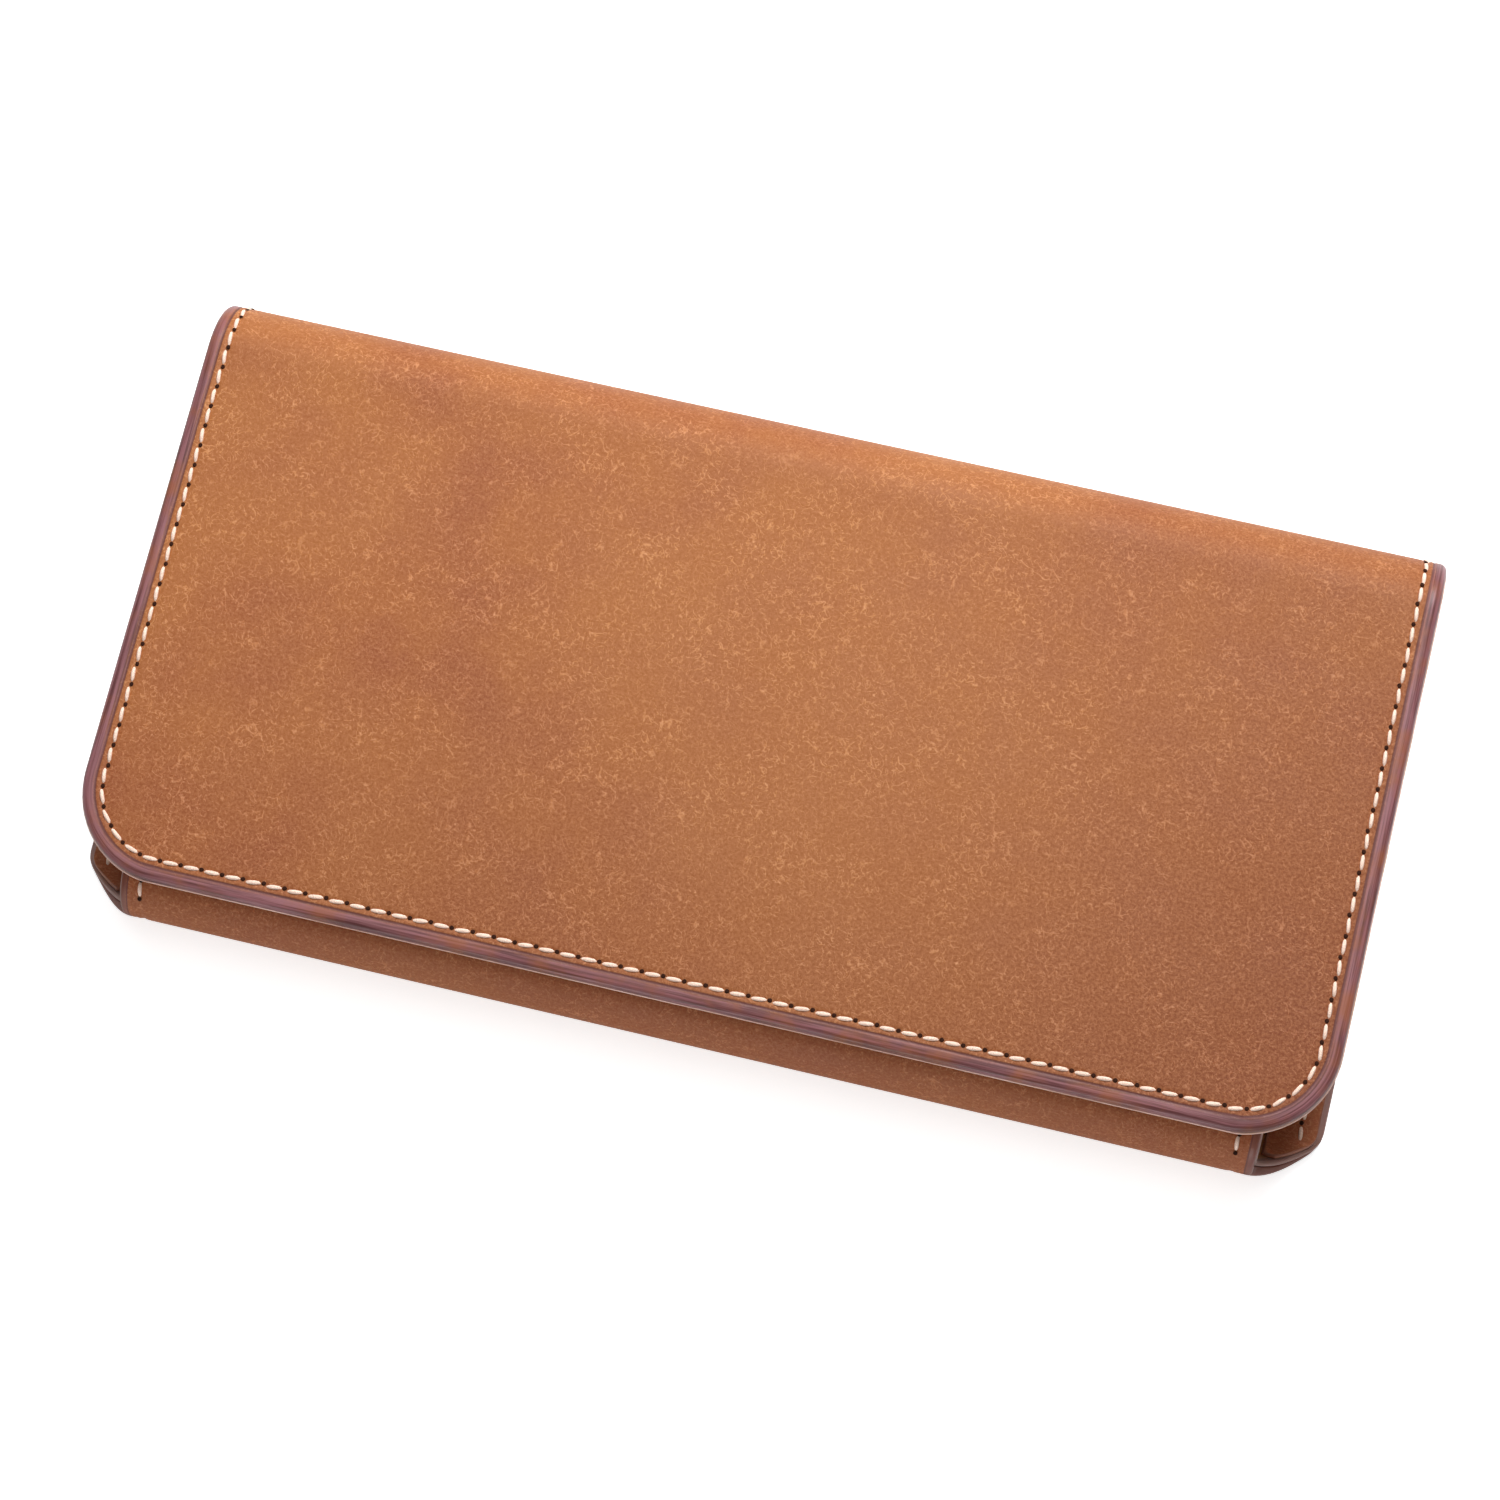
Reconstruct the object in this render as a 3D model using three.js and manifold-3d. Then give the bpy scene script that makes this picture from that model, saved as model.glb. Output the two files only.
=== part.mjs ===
// A long flap wallet, closed and lying on its back, in millimetres.
// X runs across the wallet, +Y towards the top fold, +Z up through its thickness.
// The origin is under the middle of the wallet, on the surface it lies on.
import * as THREE from 'three';
import { mergeVertices } from 'three/addons/utils/BufferGeometryUtils.js';
import Module from 'manifold-3d';

const wasm = await Module();
wasm.setup();

// Driving dimensions
const width = 198;
const height = 100;
const thickness = 20;
const outerLeather = 1.6;
const liningLeather = 0.8;
const layerGap = 0.1;
const flapShort = 4.1;
const flapCornerRadius = 15;
const frontWidth = 179.6;
const frontTopY = 36;
const earDrop = 5.6;
const earRadius = 8.5;
const seamInset = 3.3;
const liningInset = 0.6;
const flapLiningInset = 0.3;
const notchGap = 0.3;
const cutGap = 0.15;
const bendGap = 0.5;
const bendTurn = 60;
const cardLeather = 0.5;
const cardRows = 3;
const cardRowStep = 12;
const cardTopY = 30;
const cardOuterX = 88;
const compartment = 4.3;
const coinLeather = 0.7;
const coinHalfWidth = 76.5;
const coinBottomY = -39;
const coinTopY = 28;
const coinFrontGap = 0.35;
const gussetLeather = 0.8;
const gussetTipX = 82;
const flangeInset = 1.4;
const flangeRadius = 6.5;
const gussetRootX = 60;
const toothPitch = 2;
const toothRow = 132;
const toothDepth = 1.4;
const tapeDepth = 9;
const tapeThickness = 0.45;
const tapeLip = 0.5;
const stopHalfWidth = 1.3;
const sliderHalfLength = 4.2;
const sliderHalfWidth = 2.3;
const sliderUnderHalfWidth = 1.3;
const sliderPlate = 1;
const sliderGap = 0.3;
const pinRadius = 0.45;
const pinHalfLength = 1.8;
const pullLength = 12;
const pullHalfWidth = 2.1;
const pullHalfThickness = 0.4;
const threadWidth = 0.6;
const threadHeight = 0.4;
const threadSink = 0.05;
const grooveDepth = 0.5;
const curveSegments = 10;

// Levels through the thickness
const halfWidth = width / 2;
const halfFront = frontWidth / 2;
const lowerLiningZ = outerLeather + layerGap;
const lowerLiningTop = lowerLiningZ + liningLeather;
const cardStepZ = cardLeather + layerGap;
const cardsTop = lowerLiningTop + cardRows * cardStepZ;
const coinBackZ = cardsTop + compartment;
const coinInnerZ = coinBackZ + coinLeather;
const coinFrontZ = coinInnerZ + compartment;
const coinMiddleZ = coinInnerZ + compartment / 2;
const frontLiningZ = coinFrontZ + coinLeather + coinFrontGap;
const frontZ = frontLiningZ + liningLeather + layerGap;
const bodyThickness = frontZ + outerLeather;
const flapZ = thickness - outerLeather;
const flapLiningZ = flapZ - layerGap - liningLeather;

// The two folds: centres and radii
const baseRadius = bodyThickness / 2;
const baseY = -height / 2 + baseRadius;
const topRadius = thickness / 2;
const topY = height / 2 - topRadius;

const colours = {
  outer: { color: 0xb27048, roughness: 0.62 },
  lining: { color: 0xb98a5e, roughness: 0.75 },
  thread: { color: 0xeadfc8, roughness: 0.8 },
  tape: { color: 0x6b4a33, roughness: 0.9 },
  brass: { color: 0xb08d4a, roughness: 0.35, metalness: 1 },
};

const wallet = new THREE.Group();

function add(name, geometry, look) {
  const mesh = new THREE.Mesh(geometry, new THREE.MeshStandardMaterial(colours[look]));
  mesh.name = name;
  wallet.add(mesh);
}

function extrude(shape, depth) {
  return new THREE.ExtrudeGeometry(shape, { depth, bevelEnabled: false, curveSegments });
}

// Outlines drawn in X and Y, extruded upwards from z0 to z1.
function plate(shape, z0, z1) {
  return extrude(shape, z1 - z0).translate(0, 0, z0);
}

// Sections drawn in Y and Z, extruded across the wallet from x0 to x1.
function bar(shape, x0, x1) {
  const turn = new THREE.Matrix4().makeBasis(
    new THREE.Vector3(0, 1, 0), new THREE.Vector3(0, 0, 1), new THREE.Vector3(1, 0, 0));
  return extrude(shape, x1 - x0).applyMatrix4(turn).translate(x0, 0, 0);
}

// Sections drawn in X and Z, extruded along the wallet from y0 to y1.
function run(shape, y0, y1) {
  const turn = new THREE.Matrix4().makeBasis(
    new THREE.Vector3(1, 0, 0), new THREE.Vector3(0, 0, 1), new THREE.Vector3(0, -1, 0));
  return extrude(shape, y1 - y0).applyMatrix4(turn).translate(0, y1, 0);
}

function polygon(points) {
  return new THREE.Shape(points.map(([x, y]) => new THREE.Vector2(x, y)));
}

function rectangle(x0, x1, y0, y1) {
  return polygon([[x0, y0], [x1, y0], [x1, y1], [x0, y1]]);
}

function box(x0, x1, y0, y1, z0, z1) {
  return plate(rectangle(x0, x1, y0, y1), z0, z1);
}

// A slice of a rolled sheet; angles in degrees, 0 pointing to +X of the drawing.
function ringSlice(cx, cy, inner, outer, from, to) {
  const shape = new THREE.Shape();
  const a = THREE.MathUtils.degToRad(from);
  const b = THREE.MathUtils.degToRad(to);
  shape.absarc(cx, cy, outer, a, b, false);
  shape.absarc(cx, cy, inner, b, a, true);
  return shape;
}

// A strip of even width along a path of points.
function stroke(points, breadth) {
  const left = [];
  const right = [];
  points.forEach(([x, y], i) => {
    const before = points[Math.max(i - 1, 0)];
    const after = points[Math.min(i + 1, points.length - 1)];
    const along = new THREE.Vector2(after[0] - before[0], after[1] - before[1]).normalize();
    left.push([x - along.y * breadth / 2, y + along.x * breadth / 2]);
    right.unshift([x + along.y * breadth / 2, y - along.x * breadth / 2]);
  });
  return polygon([...right.reverse(), ...left.reverse()]);
}

function solid(geometry) {
  const plain = geometry.index ? geometry.toNonIndexed() : geometry.clone();
  plain.deleteAttribute('normal');
  plain.deleteAttribute('uv');
  const merged = mergeVertices(plain, 1e-4);
  return new wasm.Manifold(new wasm.Mesh({
    numProp: 3,
    vertProperties: new Float32Array(merged.attributes.position.array),
    triVerts: new Uint32Array(merged.index.array),
  }));
}

function geometryOf(manifold) {
  const mesh = manifold.getMesh();
  const geometry = new THREE.BufferGeometry();
  geometry.setAttribute('position', new THREE.BufferAttribute(new Float32Array(mesh.vertProperties), 3));
  geometry.setIndex(new THREE.BufferAttribute(new Uint32Array(mesh.triVerts), 1));
  return geometry;
}

const cut = (geometry, tool) => geometryOf(solid(geometry).subtract(solid(tool)));
const keep = (geometry, tool) => geometryOf(solid(geometry).intersect(solid(tool)));
const join = (...parts) => geometryOf(parts.map(solid).reduce((a, b) => a.add(b)));

// The flap's outline, pulled in all round by the inset.
function flapShape(inset) {
  const x = halfWidth - inset;
  const bottom = -height / 2 + flapShort + inset;
  const r = flapCornerRadius - inset;
  const shape = new THREE.Shape();
  shape.moveTo(-x, topY);
  shape.lineTo(-x, bottom + r);
  shape.absarc(-x + r, bottom + r, r, Math.PI, 1.5 * Math.PI, false);
  shape.lineTo(x - r, bottom);
  shape.absarc(x - r, bottom + r, r, 1.5 * Math.PI, 2 * Math.PI, false);
  shape.lineTo(x, topY);
  return shape;
}

// The back's outline: two ears hang beside the base fold, with their outer corners rounded.
function backShape(inset) {
  const x = halfWidth - inset;
  const notch = halfFront + notchGap + inset;
  const bottom = baseY - earDrop + inset;
  const r = Math.min(earRadius - inset, x - notch);
  const shape = new THREE.Shape();
  shape.moveTo(-x, topY);
  shape.lineTo(-x, bottom + r);
  shape.absarc(-x + r, bottom + r, r, Math.PI, 1.5 * Math.PI, false);
  shape.lineTo(-notch, bottom);
  shape.lineTo(-notch, baseY);
  shape.lineTo(notch, baseY);
  shape.lineTo(notch, bottom);
  shape.lineTo(x - r, bottom);
  shape.absarc(x - r, bottom + r, r, 1.5 * Math.PI, 2 * Math.PI, false);
  shape.lineTo(x, topY);
  return shape;
}

// The line of the flap's seam: down one side, round the corners and up the other side.
function flapSeam() {
  const x = halfWidth - seamInset;
  const bottom = -height / 2 + flapShort + seamInset;
  const r = flapCornerRadius - seamInset;
  const corner = (cx, from) => Array.from({ length: 9 }, (_, i) => {
    const a = from + (i / 8) * Math.PI / 2;
    return [cx + r * Math.cos(a), bottom + r + r * Math.sin(a)];
  });
  return [
    [-x, topY - 0.5], ...corner(-x + r, Math.PI), ...corner(x - r, 1.5 * Math.PI), [x, topY - 0.5],
  ];
}

function makeBack() {
  add('outer_back', plate(backShape(0), 0, outerLeather), 'outer');
  add('lining_back', plate(backShape(liningInset), lowerLiningZ, lowerLiningTop), 'lining');
}

// The base fold: one quarter stays with the back, the other lifts with the front.
function makeBase() {
  const liningOuter = baseRadius - outerLeather - layerGap;
  const liningInner = liningOuter - liningLeather;
  const gapAngle = THREE.MathUtils.radToDeg(cutGap / baseRadius);
  const quarter = (inner, outer, from, to) => (
    bar(ringSlice(baseY, baseRadius, inner, outer, from, to), -halfFront, halfFront));
  const outerInner = baseRadius - outerLeather;
  add('outer_base_back', quarter(outerInner, baseRadius, 180 + gapAngle, 270 - gapAngle), 'outer');
  add('outer_base_front', quarter(outerInner, baseRadius, 90 + gapAngle, 180 - gapAngle), 'outer');
  add('lining_base_back', quarter(liningInner, liningOuter, 180 + gapAngle, 270 - gapAngle), 'lining');
  add('lining_base_front', quarter(liningInner, liningOuter, 90 + gapAngle, 180 - gapAngle), 'lining');
}

function makeFront() {
  const seamX = halfFront - seamInset;
  const low = baseY + cutGap;
  const half = threadWidth / 2;
  const grooveHalf = half + 0.2;
  const top = bodyThickness - threadSink;
  let front = box(-halfFront, halfFront, low, frontTopY, frontZ, bodyThickness);
  for (const [side, x] of [['left', -seamX], ['right', seamX]]) {
    const floor = bodyThickness - grooveDepth;
    const groove = box(x - grooveHalf, x + grooveHalf, low + 1, frontTopY - 2, floor, thickness);
    const thread = box(x - half, x + half, low + 1.2, frontTopY - 2.2, top - threadHeight, top);
    front = cut(front, groove);
    add(`thread_front_${side}`, thread, 'thread');
  }
  add('outer_front', front, 'outer');
  const edge = halfFront - liningInset;
  const lining = box(-edge, edge, low, frontTopY, frontLiningZ, frontLiningZ + liningLeather);
  add('lining_front', lining, 'lining');
}

// The top fold is a half turn of leather and lining. It bends along three lines, so it is four slices:
// one fixed to the back, two loose ones and one fixed to the flap.
function makeTopFold() {
  const names = ['back', 'lower', 'upper', 'flap'];
  const cuts = [0, bendTurn / 2, 1.5 * bendTurn, 2.5 * bendTurn, 180];
  const liningOuter = topRadius - outerLeather - layerGap;
  const layers = [
    ['outer', topRadius - outerLeather, topRadius, halfWidth],
    ['lining', liningOuter - liningLeather, liningOuter, halfWidth - liningInset],
  ];
  for (const [look, inner, outer, edge] of layers) {
    const slack = THREE.MathUtils.radToDeg(bendGap / 2 / outer);
    names.forEach((name, i) => {
      const slice = ringSlice(topY, topRadius, inner, outer, cuts[i] - 90 + slack, cuts[i + 1] - 90 - slack);
      add(`${look}_fold_${name}`, bar(slice, -edge, edge), look);
    });
  }
}

function makeFlap() {
  const seam = flapSeam();
  const top = thickness - threadSink;
  const groove = plate(stroke(seam, threadWidth + 0.4), thickness - grooveDepth, thickness + 1);
  add('outer_flap', cut(plate(flapShape(0), flapZ, thickness), groove), 'outer');
  add('lining_flap', plate(flapShape(flapLiningInset), flapLiningZ, flapZ - layerGap), 'lining');
  add('thread_flap', plate(stroke(seam, threadWidth), top - threadHeight, top), 'thread');
}

// Each gusset is one strip: a flange sewn to the back's ear, a pleat that goes in under the front
// and comes out again, and a flange sewn behind the front's side edge.
function makeGusset(side, sign) {
  const half = gussetLeather / 2;
  const flangeZ = lowerLiningTop + layerGap + half;
  const legZ = cardsTop + layerGap + half;
  const upperZ = frontLiningZ - layerGap - half;
  const centreZ = (legZ + upperZ) / 2;
  const r = (upperZ - legZ) / 2;
  const pleat = Array.from({ length: 13 }, (_, i) => {
    const a = -Math.PI / 2 + (i / 12) * Math.PI;
    return [gussetTipX - r * Math.cos(a), centreZ + r * Math.sin(a)];
  });
  const path = [
    [halfWidth - flangeInset - 0.4, flangeZ], [halfFront + 1.2, flangeZ], [cardOuterX + 0.9, legZ],
    ...pleat, [halfFront - 0.3, upperZ],
  ];
  const section = stroke(path.map(([x, z]) => [sign * x, z]), gussetLeather);
  const low = baseY - earDrop + flangeInset;
  const corner = low + flangeRadius;
  const x = halfWidth - flangeInset;
  const inner = halfFront + 0.5;
  const outline = new THREE.Shape();
  outline.moveTo(sign * gussetRootX, baseY + 2);
  outline.lineTo(sign * inner, baseY + 2);
  outline.lineTo(sign * inner, low);
  outline.lineTo(sign * (x - flangeRadius), low);
  if (sign > 0) {
    outline.absarc(x - flangeRadius, corner, flangeRadius, 1.5 * Math.PI, 2 * Math.PI, false);
  } else {
    outline.absarc(-x + flangeRadius, corner, flangeRadius, 1.5 * Math.PI, Math.PI, true);
  }
  outline.lineTo(sign * x, frontTopY - 1);
  outline.lineTo(sign * gussetRootX, frontTopY - 1);
  const strip = run(section, low - 5, frontTopY);
  add(`gusset_${side}`, keep(strip, plate(outline, 0, thickness)), 'outer');
  const seamX = sign * (halfWidth - seamInset);
  const top = flangeZ + half + 0.08;
  const threadHalf = threadWidth / 2;
  add(`thread_gusset_${side}`,
    box(seamX - threadHalf, seamX + threadHalf, corner, frontTopY - 2, top, top + threadHeight), 'thread');
}

// Two columns of card pockets on the back's lining, each row in front of and lower than the last.
function makeCards() {
  for (const [side, sign] of [['left', -1], ['right', 1]]) {
    for (let row = 0; row < cardRows; row += 1) {
      const z = lowerLiningTop + layerGap + row * cardStepZ;
      const x = [sign * 0.4, sign * cardOuterX].sort((a, b) => a - b);
      const top = cardTopY - row * cardRowStep;
      add(`card_pocket_${side}_${row + 1}`, box(x[0], x[1], baseY + 2, top, z, z + cardLeather), 'lining');
    }
  }
}

// The coin pocket: two walls, a strip round three sides and a zip across its mouth.
function makeCoinPocket() {
  const x = coinHalfWidth;
  const frontTop = coinFrontZ + coinLeather;
  add('coin_wall_back', box(-x, x, coinBottomY, coinTopY, coinBackZ, coinInnerZ), 'lining');
  add('coin_wall_front', box(-x, x, coinBottomY, coinTopY, coinFrontZ, frontTop), 'lining');
  const low = coinInnerZ + layerGap;
  const high = coinFrontZ - layerGap;
  const wall = coinLeather;
  const inner = x - wall;
  const top = coinTopY - 1.5;
  const strip = polygon([
    [-x, top], [-x, coinBottomY], [x, coinBottomY], [x, top], [inner, top], [inner, coinBottomY + wall],
    [-inner, coinBottomY + wall], [-inner, top],
  ]);
  add('coin_side_strip', plate(strip, low, high), 'lining');
}

// Teeth of one side of the zip, as a comb: a cord with a tooth at every pitch.
function toothComb(sign, shift) {
  const cordFar = 1.3;
  const cordNear = 0.75;
  const reach = 0.6;
  const toothHalf = 0.38;
  const points = [];
  const z = (t) => coinMiddleZ + sign * t;
  const start = -toothRow / 2;
  points.push([start, z(cordFar)], [start, z(cordNear)]);
  for (let x = start + 0.8 + shift; x < toothRow / 2 - 0.6; x += toothPitch) {
    points.push([x - toothHalf, z(cordNear)], [x - toothHalf, z(-reach)]);
    points.push([x + toothHalf, z(-reach)], [x + toothHalf, z(cordNear)]);
  }
  points.push([toothRow / 2, z(cordNear)], [toothRow / 2, z(cordFar)]);
  return polygon(points);
}

const toothY = coinTopY - 0.2;
const sliderX = toothRow / 2 - 3;
const pullY = toothY + 4.6;

function makeZip() {
  const sides = [['back', -1, coinInnerZ + 0.1], ['front', 1, coinFrontZ - 0.1]];
  sides.forEach(([side, sign, wallZ], i) => {
    add(`zip_teeth_${side}`, run(toothComb(sign, i * toothPitch / 2), toothY, toothY + toothDepth), 'brass');
    const near = coinMiddleZ + sign * 1.45;
    const fold = wallZ - sign * tapeThickness;
    const low = coinTopY - tapeDepth;
    const lip = coinTopY + 0.2;
    const tape = polygon([
      [low, wallZ], [lip + tapeLip, wallZ], [lip + tapeLip, near], [lip, near], [lip, fold], [low, fold],
    ]);
    const end = coinHalfWidth - 1.2;
    add(`zip_tape_${side}`, bar(tape, -end, end), 'tape');
  });
  for (const [side, sign] of [['left', -1], ['right', 1]]) {
    const near = toothRow / 2 + 2;
    const x = [sign * near, sign * (near + 1.8)].sort((a, b) => a - b);
    const [z0, z1] = [coinMiddleZ - stopHalfWidth, coinMiddleZ + stopHalfWidth];
    add(`zip_stop_${side}`, box(x[0], x[1], toothY - 0.2, toothY + toothDepth + 0.3, z0, z1), 'brass');
  }
}

// The slider: a plate over and under the teeth joined by a post, with two lugs and a pin for the pull.
function makeSlider() {
  const back = sliderX - sliderHalfLength;
  const front = sliderX + sliderHalfLength;
  const under = toothY - sliderGap;
  const over = toothY + toothDepth + sliderGap;
  const acrossBox = (x0, x1, y0, y1, half) => box(x0, x1, y0, y1, coinMiddleZ - half, coinMiddleZ + half);
  const parts = [
    acrossBox(back, front, over, over + sliderPlate, sliderHalfWidth),
    acrossBox(back, front, under - sliderPlate, under, sliderUnderHalfWidth),
    acrossBox(front - 0.9, front, under - sliderPlate, over + sliderPlate, 0.4),
  ];
  for (const sign of [-1, 1]) {
    const z = coinMiddleZ + sign * 1.75;
    const root = over + sliderPlate - 0.2;
    parts.push(box(sliderX - 1.2, sliderX + 1.2, root, pullY + 0.9, z - 0.35, z + 0.35));
  }
  const pin = new THREE.CylinderGeometry(pinRadius, pinRadius, 2 * pinHalfLength, 16);
  pin.rotateX(Math.PI / 2).translate(sliderX, pullY, coinMiddleZ);
  add('zip_slider', join(...parts, pin), 'brass');
}

// The pull: a flat tab that turns on the slider's pin.
function makePull() {
  const eye = new THREE.Shape();
  eye.absarc(sliderX, pullY, 1.05, 0, 2 * Math.PI, false);
  const hole = new THREE.Path();
  hole.absarc(sliderX, pullY, pinRadius + 0.15, 0, 2 * Math.PI, true);
  eye.holes.push(hole);
  const strip = (far, near) => (
    rectangle(sliderX - far, sliderX - near, pullY - pullHalfThickness, pullY + pullHalfThickness));
  const slab = (shape, half) => plate(shape, coinMiddleZ - half, coinMiddleZ + half);
  const neckHalf = 1.15;
  const geometry = join(
    slab(eye, neckHalf),
    slab(strip(3.4, 0.85), neckHalf),
    slab(strip(pullLength, 2.6), pullHalfWidth),
  );
  add('zip_pull', geometry, 'brass');
}

makeBack();
makeBase();
makeFront();
makeTopFold();
makeFlap();
makeGusset('left', -1);
makeGusset('right', 1);
makeCards();
makeCoinPocket();
makeZip();
makeSlider();
makePull();

export default wallet;
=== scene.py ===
import math

import bmesh
import bpy
from mathutils import Matrix, Vector


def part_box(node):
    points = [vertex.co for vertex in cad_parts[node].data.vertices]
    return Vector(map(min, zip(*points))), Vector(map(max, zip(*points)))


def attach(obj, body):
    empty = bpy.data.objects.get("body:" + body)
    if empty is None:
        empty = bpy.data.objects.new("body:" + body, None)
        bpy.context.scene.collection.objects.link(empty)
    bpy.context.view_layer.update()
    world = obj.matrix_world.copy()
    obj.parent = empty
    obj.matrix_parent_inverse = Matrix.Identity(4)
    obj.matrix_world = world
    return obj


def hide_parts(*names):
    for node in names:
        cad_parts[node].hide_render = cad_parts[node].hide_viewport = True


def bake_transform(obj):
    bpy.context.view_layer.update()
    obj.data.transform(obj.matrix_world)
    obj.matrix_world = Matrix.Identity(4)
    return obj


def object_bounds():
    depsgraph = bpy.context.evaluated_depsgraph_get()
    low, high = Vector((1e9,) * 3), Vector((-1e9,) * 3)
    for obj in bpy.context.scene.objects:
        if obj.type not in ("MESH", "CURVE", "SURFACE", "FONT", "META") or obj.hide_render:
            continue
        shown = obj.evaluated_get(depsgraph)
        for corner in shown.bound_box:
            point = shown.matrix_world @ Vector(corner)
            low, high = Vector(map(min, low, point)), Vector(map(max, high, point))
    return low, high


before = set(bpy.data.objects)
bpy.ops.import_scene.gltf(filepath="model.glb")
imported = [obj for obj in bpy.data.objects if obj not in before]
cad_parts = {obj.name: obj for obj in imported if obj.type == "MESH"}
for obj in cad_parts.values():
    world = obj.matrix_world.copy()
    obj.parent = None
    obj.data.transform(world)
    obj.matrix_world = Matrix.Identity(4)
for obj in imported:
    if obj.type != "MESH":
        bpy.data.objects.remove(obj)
cadLow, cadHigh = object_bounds()
print("frame loaded")

mm = 0.001
flapLow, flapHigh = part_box("outer_flap")
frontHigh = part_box("outer_front")[1]
backLow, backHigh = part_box("outer_back")
liningLow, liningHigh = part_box("lining_back")

# the wallet's own measures in millimetres, read off the frame where it has them
wallet = {
    "halfWidth": flapHigh.x / mm,
    "halfFront": frontHigh.x / mm,
    "frontCorner": 3.0,
    "topRadius": flapHigh.z / mm / 2,
    "baseRadius": frontHigh.z / mm / 2,
    "frontTop": frontHigh.y / mm,
    "flapEnd": flapLow.y / mm,
    "outer": (backHigh.z - backLow.z) / mm,
    "lining": (liningHigh.z - liningLow.z) / mm,
    "liningDepth": liningLow.z / mm,
    "pitch": 3.34,
    "seamInset": 3.3,
    "flapCorner": 15.0,
    "earCorner": 6.5,
    "earLean": math.radians(39.5),
    "earEnd": 12.0,
}
wallet["topY"] = cadHigh.y / mm - wallet["topRadius"]
wallet["baseY"] = cadLow.y / mm + wallet["baseRadius"]
liningTop = wallet["liningDepth"] + wallet["lining"]

# the leather runs front, base fold, back, top fold, flap; s is the length along its grain side
baseStart = wallet["frontTop"] - wallet["baseY"]
backStart = baseStart + math.pi * wallet["baseRadius"]
topStart = backStart + wallet["topY"] - wallet["baseY"]
flapStart = topStart + math.pi * wallet["topRadius"]
pathEnd = flapStart + wallet["topY"] - wallet["flapEnd"]


def topAngle(degrees):
    return topStart + math.radians(degrees) * wallet["topRadius"]


# where the leather's lengths meet, each inside a fold's body
baseCut = backStart + 3
lowerCut = topAngle(60)
upperCut = topAngle(120)


def onPath(s):
    # y, z and the outward normal's y, z at length s
    base, top = wallet["baseRadius"], wallet["topRadius"]
    if s < baseStart:
        return wallet["frontTop"] - s, 2 * base, 0.0, 1.0
    if s < backStart:
        a = (s - baseStart) / base
        ny, nz = -math.sin(a), math.cos(a)
        return wallet["baseY"] + base * ny, base * (1 + nz), ny, nz
    if s < topStart:
        return wallet["baseY"] + s - backStart, 0.0, 0.0, -1.0
    if s < flapStart:
        a = (s - topStart) / top
        ny, nz = math.sin(a), -math.cos(a)
        return wallet["topY"] + top * ny, top * (1 + nz), ny, nz
    return wallet["topY"] - (s - flapStart), 2 * top, 0.0, 1.0


def wrapped(x, s, depth):
    y, z, ny, nz = onPath(s)
    return Vector((x, y - ny * depth, z - nz * depth)) * mm


def arcPoints(cx, cy, r, start, end, steps):
    turn = (end - start) / steps
    angles = [start + i * turn for i in range(steps + 1)]
    return [(cx + r * math.cos(a), cy + r * math.sin(a)) for a in angles]


def outerOutline(inset):
    # right half of the leather's outline as (x, s), from the middle of the front's top edge to the flap's end
    half = wallet["halfWidth"] - inset
    front = wallet["halfFront"] - inset
    corner = wallet["frontCorner"] - min(inset, 2)
    points = [(0, inset)] + arcPoints(front - corner, inset + corner, corner, -math.pi / 2, 0, 6)
    join = backStart - wallet["earEnd"] - inset * 0.4  # the ear leaves the front's side here
    points.append((front, join))
    lean = wallet["earLean"]
    ear = wallet["earCorner"] - inset
    cornerS = join + (half - front) / math.tan(lean)
    points += arcPoints(half - ear, cornerS + ear * math.tan(lean / 2), ear, -lean, 0, 8)
    flap = wallet["flapCorner"] - inset
    points += arcPoints(half - flap, pathEnd - inset - flap, flap, 0, math.pi / 2, 16)
    points.append((0, pathEnd - inset))
    return points


def boxOutline(half, s0, s1, r0, r1):
    # right half of a rounded rectangle from s0 to s1, with corner radii r0 and r1
    points = [(0, s0)]
    points += arcPoints(half - r0, s0 + r0, r0, -math.pi / 2, 0, 5) if r0 else [(half, s0)]
    points += arcPoints(half - r1, s1 - r1, r1, 0, math.pi / 2, 5) if r1 else [(half, s1)]
    points.append((0, s1))
    return points


def halfAt(outline, s):
    best = 0.0
    for (x0, a), (x1, b) in zip(outline, outline[1:]):
        if min(a, b) - 1e-6 <= s <= max(a, b) + 1e-6:
            t = (s - a) / (b - a) if abs(b - a) > 1e-9 else 1.0
            best = max(best, x0 + (x1 - x0) * t, x1 if t == 1.0 else 0.0)
    return best


def rimDistance(outline, x, s):
    # distance from (x, s) to the nearest edge of the leather
    best = 1e9
    for (x0, a), (x1, b) in zip(outline, outline[1:]):
        dx, ds = x1 - x0, b - a
        length = dx * dx + ds * ds
        t = 0.0 if length < 1e-12 else max(0.0, min(1.0, ((x - x0) * dx + (s - a) * ds) / length))
        best = min(best, math.hypot(x0 + t * dx - x, a + t * ds - s))
    return best


def roundDrop(d, r):
    return r - math.sqrt(max(0.0, r * r - (r - d) ** 2)) if d < r else 0.0


bothSides = (("left", -1), ("right", 1))

# distances from a rim that get a row or a column of vertices, on sheets and on strips
rimSteps = [0, 0.06, 0.2, 0.42, 0.7, 1.05, 1.5, 1.8, 1.95, 2.1, 2.25, 2.4, 2.7, 3.0, 3.3, 3.6, 3.9, 4.6, 6]
fineSteps = [0.0, 0.07, 0.22, 0.5, 1.0]


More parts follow.
